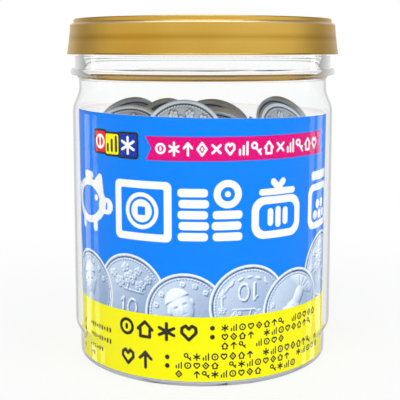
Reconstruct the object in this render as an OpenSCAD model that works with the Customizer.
// Coin bank jar: a clear screw-top jar of play coins, with a printed sheet rolled inside it and a
// gold lid that has a coin slot. Millimetres, +Z up. The origin is the centre of the ring that the
// jar stands on, and -Y is the front of the printed sheet.

/* [Jar body] */
// Diameter of the body just above the foot, its widest place
body_d = 87; // [72:0.5:105]
// How much narrower the body is at its shoulder, on the diameter
body_taper = 1; // [0:0.1:3]
// Height of the shoulder, where the straight wall ends
shoulder_z = 81.5; // [65:0.5:85]
// Thickness of the body wall
body_wall = 0.7; // [0.5:0.05:1.2]

/* [Jar foot] */
// Diameter of the foot
foot_d = 83.8; // [68:0.1:86]
// Height of the foot's straight band
foot_h = 7.2; // [5:0.1:10]
// Height of the slope between the foot and the body
step_h = 4.8; // [3:0.1:7]
// Radius of the rounded heel
heel_r = 1.6; // [1.2:0.1:2]
// Width of the flat ring that the jar stands on
stand_w = 3; // [2:0.1:5]
// How far the middle of the base is pushed up
push_up = 3; // [1:0.1:6]
// Thickness of the base
base_wall = 1.0; // [0.8:0.05:1.3]

/* [Jar neck] */
// Height of the rim of the mouth
mouth_z = 106.4; // [100:0.1:130]
// Diameter of the neck at the root of its thread
neck_d = 81.8; // [68:0.1:84]
// Thickness of the neck wall
neck_wall = 1.7; // [1.2:0.1:2.5]
// Height of the threaded neck, from the collar to the mouth
finish_h = 7.0; // [6:0.1:12]
// Diameter of the plain collar under the lid
collar_d = 84; // [70:0.1:86]
// Height of the collar
collar_h = 3.9; // [2:0.1:6]
// Diameter of the carrying flange under the collar
flange_d = 87.2; // [73:0.1:90]
// Thickness of the carrying flange
flange_t = 2.2; // [1.5:0.1:3]
// Diameter of the waist under the flange
waist_d = 81.6; // [67:0.1:84]
// Height of the waist's straight band
waist_h = 2.4; // [1:0.1:5]

/* [Thread] */
// Rise of the thread in one turn
thread_pitch = 4; // [3:0.1:5]
// Height of the neck's thread above the neck wall
thread_depth = 1.1; // [0.8:0.05:1.4]
// Width of the thread at its root
thread_root_w = 1.7; // [1.2:0.1:2]
// Width of the thread at its crest
thread_crest_w = 0.8; // [0.5:0.1:1.2]
// Air between a crest and the wall that it faces
thread_gap = 0.4; // [0.3:0.05:0.6]

/* [Lid] */
// Diameter of the lid at the lower edge of its skirt
lid_d = 88.8; // [88:0.1:110]
// Diameter of the lid at the top of its skirt
lid_top_d = 86.6; // [80:0.1:108]
// Radius of the corner at the top of the skirt
lid_corner_r = 0.9; // [0.5:0.1:2]
// Thickness of the skirt at its lower edge
skirt_wall = 1.2; // [0.8:0.1:1.6]
// How much faster the skirt flares towards its lower edge: 1 is a straight slope
skirt_flare = 1.3; // [1:0.1:2]
// Height of the bevel inside the skirt's lower edge
skirt_bevel_h = 1.75; // [1:0.05:2.5]
// Thickness of the top plate
plate_t = 1.5; // [1:0.1:3]
// How far the top plate lies below the skirt's top corner
plate_drop = 0.5; // [0.2:0.1:1]
// Air between the lower edge of the skirt and the collar
skirt_gap = 0.45; // [0.3:0.05:1]
// Outer diameter of the raised ring round the top, on which the next jar's heel rests
rim_d = 84.2; // [70:0.1:86]
// Height of the raised ring over the skirt's top corner
rim_h = 1.4; // [1:0.1:3]
// Width of the raised ring
rim_w = 1.5; // [1:0.1:3]
// Thickness of the plug ring that fits inside the mouth
plug_t = 0.9; // [0.6:0.1:1.5]
// How far the plug ring reaches below the top plate
plug_h = 3.2; // [2:0.1:5]
// Air between the plug ring and the neck
plug_gap = 0.5; // [0.3:0.05:1]
// Length of the coin slot
slot_l = 32; // [28:0.5:40]
// Width of the coin slot
slot_w = 4.8; // [4.4:0.1:7]

/* [Seal] */
// Thickness of the soft seal ring between the lid and the mouth
seal_t = 1.2; // [0.8:0.1:2]
// Air above and below the seal ring, and around it
seal_gap = 0.05; // [0.02:0.01:0.1]

/* [Printed sheet] */
// How far the sheet's top edge stands above the shoulder, in the middle of the front
sheet_rise = 0.3; // [-20:0.1:0.5]
// Height of the sheet's lower edge above the inside of the base
sheet_lift = 0.45; // [0.4:0.05:2]
// Thickness of the sheet
sheet_t = 0.35; // [0.2:0.05:0.5]
// Air between the rolled sheet and the wall of the foot, or of the shoulder if that is narrower
sheet_gap = 0.2; // [0.1:0.05:0.5]
// Angle by which the sheet's ends overlap at the back
sheet_overlap = 14; // [5:1:30]
// Air between the two layers of the overlap
overlap_gap = 0.08; // [0.05:0.01:0.2]
// Slant of the top edge, which is rolled a little askew
sheet_slant = 1.1; // [0:0.1:2]

/* [Coins] */
// Diameter of a coin
coin_d = 26; // [20:0.5:26.5]
// Thickness of a coin
coin_t = 1.8; // [1.4:0.1:2.2]
// Bevel at the edge of a coin
coin_bevel = 0.2; // [0.1:0.05:0.4]
// Air between coins that lie on or beside each other
coin_gap = 0.03; // [0.02:0.01:0.1]
// Number of flat layers under the loose heap
layer_count = 31; // [10:1:31]

/* [Hidden] */
$fn = 96;
// Each layer of coins is turned from the one below it by the golden angle, so that no column forms
golden_angle = 137.5;
// Points along a quarter round and along a slope
arc_n = 6;
slope_n = 12;
// How far a thread's root is buried in the wall that carries it, and its steps in one turn
root_sink = 0.4;
thread_steps = 36;
// A thread fades into the wall over this many steps at each end
fade_steps = 3;
// The thread keeps this far from the ends of the neck and of the skirt
thread_margin = 0.35;
// Angle between the sheet's points, and the angle over which it bends inwards before the overlap
sheet_step = 2;
sheet_bend = 12;
// A cut reaches this far past what it cuts
past = 1;

body_r = body_d / 2;
foot_r = foot_d / 2;
neck_r = neck_d / 2;
collar_r = collar_d / 2;
flange_r = flange_d / 2;
waist_r = waist_d / 2;
shoulder_r = body_r - body_taper / 2;
bore_r = neck_r - neck_wall;

// Heights up the neck
collar_top = mouth_z - finish_h;
flange_top = collar_top - collar_h;
flange_low = flange_top - flange_t;
// The flange meets the waist in a quarter round
waist_top = flange_low - (flange_r - flange_t / 2 - waist_r);
waist_low = waist_top - waist_h;
lip_r = 0.5;

// The lid sits on the mouth through the seal ring
plate_low = mouth_z + seal_t + 2 * seal_gap;
plate_top = plate_low + plate_t;
skirt_top = plate_top + plate_drop;
skirt_low = collar_top + skirt_gap;
crest_r = neck_r + thread_depth;
lid_bore_r = crest_r + thread_gap;
lid_crest_r = neck_r + thread_gap;
plug_r = bore_r - plug_gap;

// The sheet is as wide as the narrower of the places that it stands in
sheet_r = min(foot_r, shoulder_r) - body_wall - sheet_gap;
sheet_low = base_wall + sheet_lift;
sheet_top = shoulder_z + sheet_rise;
tuck_r = sheet_r - sheet_t - overlap_gap;
// Room left for coins
heap_r = tuck_r - sheet_t - coin_gap;
layer_z = push_up + base_wall + coin_gap;
layer_rise = coin_t + coin_gap;
heap_z = layer_z + layer_count * layer_rise;

// The loose coins of the heap: x and y of the middle, lean from flat, and the way it leans towards
HEAP = [
    [-6, -23, 72, -94],
    [-24, -15, 57, -96],
    [-23.7, -12.4, 57, -96],
    [-26, 17, 66, 120],
    [-15, 10, 66, 130],
    [5.5, 26, 60, 70],
    [4.5, 23.5, 60, 70],
    [29.2, 16.6, 68, 40],
    [26.8, -19.4, 63, -42],
    [25, -2, 42, 0],
    [3.2, -10, 55, 90],
    [3.4, -7.5, 55, 90],
    [3.6, -5, 55, 90],
    [3.8, -2.5, 55, 90],
    [4.5, 9, 52, 82]
];

function two_digits(i) = str(i < 10 ? "0" : "", i);
function heap_name(i) = str("heap_coin_", two_digits(i));
function layer_name(i) = str("coin_layer_", two_digits(i));

// Points along an arc round c, from angle a0 to a1
function arc(c, r, a0, a1) = [
    for (i = [0 : arc_n]) let (a = a0 + (a1 - a0) * i / arc_n) c + r * [cos(a), sin(a)]
];

// Points along a smooth slope from p to q, upright at both ends: half a cosine wave
function slope(p, q) = [
    for (i = [0 : slope_n])
        [p.x + (q.x - p.x) * (1 - cos(180 * i / slope_n)) / 2, p.y + (q.y - p.y) * i / slope_n]
];

// Points of a flared side from p up to q, which widens faster towards p
function flare(p, q) = [
    for (i = [0 : slope_n]) let (s = i / slope_n)
        [q.x + (p.x - q.x) * (1 - s) ^ skirt_flare, p.y + (q.y - p.y) * s]
];

// Height of the base's underside at radius r: half a cosine wave from the middle to the stand ring
function base_z(r, edge_r) = push_up * (1 + cos(180 * r / edge_r)) / 2;

// Points of the base from the middle outwards, raised by lift
function base_line(edge_r, lift) = [
    for (i = [0 : slope_n]) let (r = edge_r * i / slope_n) [r, base_z(r, edge_r) + lift]
];

function reverse(list) = [for (i = [len(list) - 1 : -1 : 0]) list[i]];

// Outline of the jar's outside, from the middle of the base to the rim of the mouth
function jar_outside() = concat(
    base_line(foot_r - heel_r - stand_w, 0),
    arc([foot_r - heel_r, heel_r], heel_r, -90, 0),
    slope([foot_r, foot_h], [body_r, foot_h + step_h]),
    slope([shoulder_r, shoulder_z], [waist_r, waist_low]),
    arc([flange_r - flange_t / 2, waist_top], flange_r - flange_t / 2 - waist_r, 180, 90),
    arc([flange_r - flange_t / 2, flange_low + flange_t / 2], flange_t / 2, -90, 90),
    [[collar_r, flange_top], [collar_r, collar_top - lip_r / 2], [collar_r - lip_r / 2, collar_top]],
    [[neck_r, collar_top]],
    arc([neck_r - lip_r, mouth_z - lip_r], lip_r, 0, 90)
);

// Outline of the jar's inside, from the middle of the base to the rim of the mouth
function jar_inside() = concat(
    base_line(foot_r - heel_r - stand_w, base_wall),
    arc([foot_r - heel_r, base_wall + heel_r - body_wall], heel_r - body_wall, -90, 0),
    slope([foot_r - body_wall, foot_h], [body_r - body_wall, foot_h + step_h]),
    slope([shoulder_r - body_wall, shoulder_z], [waist_r - body_wall, waist_low]),
    slope([waist_r - body_wall, waist_top], [bore_r, flange_top]),
    [[bore_r, mouth_z - lip_r / 2], [bore_r + lip_r / 2, mouth_z]]
);

// A helical ridge with a trapezium section, rising by one pitch in each turn from angle a0.
// wall_r is the wall that it stands on, crest_at is its crest, and buried is its root inside the wall.
module thread_ridge(wall_r, crest_at, buried, z0, a0, turns) {
    n = ceil(turns * thread_steps);
    outward = crest_at > wall_r;
    function fade(i) = min(1, i / fade_steps, (n - i) / fade_steps);
    function ring(i) = let (
        a = a0 + 360 * turns * i / n,
        z = z0 + thread_pitch * turns * i / n,
        r = wall_r + (crest_at - wall_r) * fade(i)
    ) [
        for (p = [
            [buried, z - thread_root_w / 2], [r, z - thread_crest_w / 2],
            [r, z + thread_crest_w / 2], [buried, z + thread_root_w / 2]
        ]) [p.x * cos(a), p.x * sin(a), p.y]
    ];
    function turned(face) = outward ? face : reverse(face);
    sides = [
        for (i = [0 : n - 1], k = [0 : 3]) let (a = 4 * i + k, b = 4 * i + (k + 1) % 4)
            each [turned([a, b, b + 4]), turned([a, b + 4, a + 4])]
    ];
    ends = [turned([3, 2, 1, 0]), turned([4 * n, 4 * n + 1, 4 * n + 2, 4 * n + 3])];
    polyhedron([for (i = [0 : n]) each ring(i)], concat(sides, ends), convexity = 6);
}

module neck_thread() {
    low = collar_top + thread_margin + thread_root_w / 2;
    high = mouth_z - lip_r - thread_margin - thread_root_w / 2;
    thread_ridge(neck_r, crest_r, neck_r - root_sink, low, 0, (high - low) / thread_pitch);
}

// The lid's thread runs midway between the turns of the neck's thread
module lid_thread() {
    neck_low = collar_top + thread_margin + thread_root_w / 2;
    low = skirt_low + thread_margin + thread_root_w / 2;
    high = mouth_z - thread_margin - thread_root_w / 2;
    start = 360 * (low - (neck_low - thread_pitch / 2)) / thread_pitch;
    turns = (high - low) / thread_pitch;
    thread_ridge(lid_bore_r, lid_crest_r, lid_bore_r + root_sink, low, start, turns);
}

module jar_body() {
    color("aliceblue", 0.35) {
        rotate_extrude() polygon(concat(jar_outside(), reverse(jar_inside())));
        neck_thread();
    }
}

// Half section of the lid, from the lower edge of the skirt round to the middle
function lid_outline() = concat(
    [[lid_d / 2 - skirt_wall, skirt_low], [lid_d / 2 - lip_r / 2, skirt_low]],
    flare([lid_d / 2, skirt_low + lip_r / 2], [lid_top_d / 2, skirt_top - lid_corner_r]),
    arc([lid_top_d / 2 - lid_corner_r, skirt_top - lid_corner_r], lid_corner_r, 0, 90),
    [[rim_d / 2, skirt_top]],
    arc([rim_d / 2 - lip_r, skirt_top + rim_h - lip_r], lip_r, 0, 90),
    arc([rim_d / 2 - rim_w + lip_r, skirt_top + rim_h - lip_r], lip_r, 90, 180),
    [[rim_d / 2 - rim_w, plate_top], [0, plate_top], [0, plate_low]],
    [[plug_r - plug_t, plate_low], [plug_r - plug_t, plate_low - plug_h]],
    [[plug_r - lip_r / 2, plate_low - plug_h], [plug_r, plate_low - plug_h + lip_r]],
    [[plug_r, plate_low], [lid_bore_r, plate_low], [lid_bore_r, skirt_low + skirt_bevel_h]]
);

module coin_slot() {
    round_r = slot_w / 2;
    translate([0, 0, plate_low - past]) linear_extrude(plate_t + 2 * past) {
        square([slot_l - slot_w, slot_w], center = true);
        for (side = [-1, 1]) translate([side * (slot_l / 2 - round_r), 0]) circle(round_r);
    }
}

module lid() {
    color("goldenrod") {
        difference() {
            rotate_extrude() polygon(lid_outline());
            coin_slot();
        }
        lid_thread();
    }
}

module seal_ring() {
    color("whitesmoke") translate([0, 0, mouth_z + seal_gap]) rotate_extrude()
        translate([plug_r + seal_gap, 0]) square([lid_bore_r - plug_r - 2 * seal_gap, seal_t]);
}

// Outer radius of the rolled sheet at angle a from its outer end: round, then tucked inside itself
function sheet_radius(a) = a < 360 - sheet_bend ? sheet_r
    : a > 360 ? tuck_r
    : tuck_r + (sheet_r - tuck_r) * (1 + cos(180 * (a - 360 + sheet_bend) / sheet_bend)) / 2;

module label_sheet() {
    last = 360 + sheet_overlap;
    angles = [for (a = [0 : sheet_step : last]) a];
    outer = [for (a = angles) sheet_radius(a) * [sin(a), cos(a)]];
    inner = [for (a = angles) (sheet_radius(a) - sheet_t) * [sin(a), cos(a)]];
    reach = 2 * sheet_r;
    blank_h = sheet_top - sheet_low + sheet_r * tan(sheet_slant) + past;
    color("dodgerblue") difference() {
        translate([0, 0, sheet_low]) linear_extrude(blank_h) polygon(concat(outer, reverse(inner)));
        translate([0, 0, sheet_top]) rotate([0, sheet_slant, 0])
            translate([-reach, -reach, 0]) cube([2 * reach, 2 * reach, reach]);
    }
}

module coin() {
    r = coin_d / 2;
    color("silver") rotate_extrude() polygon([
        [0, -coin_t / 2], [r - coin_bevel, -coin_t / 2], [r, -coin_t / 2 + coin_bevel],
        [r, coin_t / 2 - coin_bevel], [r - coin_bevel, coin_t / 2], [0, coin_t / 2]
    ]);
}

// A loose coin stands on the top layer at its lowest point, and leans with its upper face towards
// the angle given last
module heap_coin(i) {
    place = HEAP[i - 1];
    lean = place[2];
    rise = coin_d / 2 * sin(lean) + coin_t / 2 * cos(lean);
    translate([place.x, place.y, heap_z + rise]) rotate([0, 0, place[3]]) rotate([0, lean, 0]) coin();
}

// One flat layer: rings of coins from the sheet inwards, each with as many coins as it has room for,
// and one coin in the middle where there is room for no ring
module coin_layer(i) {
    step = coin_d + coin_gap;
    translate([0, 0, layer_z + (i - 1) * layer_rise + coin_t / 2]) rotate([0, 0, i * golden_angle])
        for (r = [heap_r - coin_d / 2 : -step : 0]) {
            count = r < step / 2 ? 1 : floor(180 / asin(step / 2 / r));
            place_r = count == 1 ? 0 : r;
            for (k = [1 : count]) rotate([0, 0, 360 * k / count]) translate([place_r, 0, 0]) coin();
        }
}

jar_body();
label_sheet();
seal_ring();
lid();
for (i = [1 : len(HEAP)]) heap_coin(i);
for (i = [1 : layer_count]) coin_layer(i);
